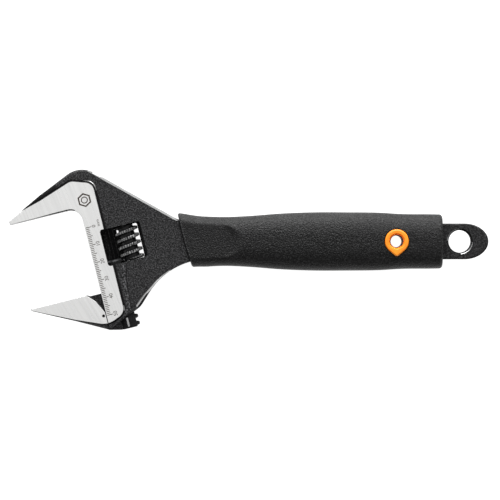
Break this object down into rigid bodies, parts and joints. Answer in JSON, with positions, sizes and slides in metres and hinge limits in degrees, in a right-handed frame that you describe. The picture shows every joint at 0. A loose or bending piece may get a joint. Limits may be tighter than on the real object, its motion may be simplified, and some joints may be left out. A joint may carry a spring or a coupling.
{
  "type": "adjustable wrench",
  "caption": "Adjustable wrench with a wide slanted jaw, a worm-driven sliding jaw, a scale strip, a soft black grip with an orange tether collar and a hang hole.",
  "frame": {"origin": "centre of the hang hole, on the tool's mid-plane", "axes": "+X from the head towards the tail along the handle, +Z out of the side that carries the scale, +Y across the handle towards the fixed jaw"},
  "size_m": [0.267, 0.0894, 0.022],
  "materials": {
    "forged_black": "fine-textured black coating",
    "ground_steel": "ground, fine parallel lines",
    "worm_steel": "blackened, worn on the crests",
    "pin_steel": "satin",
    "spring_steel": "satin",
    "hard_plastic": "matte",
    "soft_grip": "fine leather-like grain",
    "orange_plastic": "semi-gloss"
  },
  "bodies": {
    "frame": {"body_forging": "forged_black", "worm_pin": "pin_steel", "worm_spring": "spring_steel", "grip_core": "hard_plastic", "grip_cover": "soft_grip", "eyelet_front": "orange_plastic", "eyelet_back": "orange_plastic"},
    "jaw": {"movable_jaw": "ground_steel"},
    "worm": {"knurl": "worm_steel"}
  },
  "joints": [
    {"name": "jaw_slide", "type": "slide", "parent": "frame", "child": "jaw", "axis": [-0.2419, 0.9703, 0], "range_m": [0, 0.048]},
    {"name": "worm_spin", "type": "hinge", "parent": "frame", "child": "worm", "pos_m": [-0.18454, -0.00062, 0], "axis": [-0.2419, 0.9703, 0], "range_deg": [-4327, 5]}
  ],
  "couplings": [
    {"joint": "worm_spin", "follows": "jaw_slide", "rad_per_m": -1570.8}
  ]
}
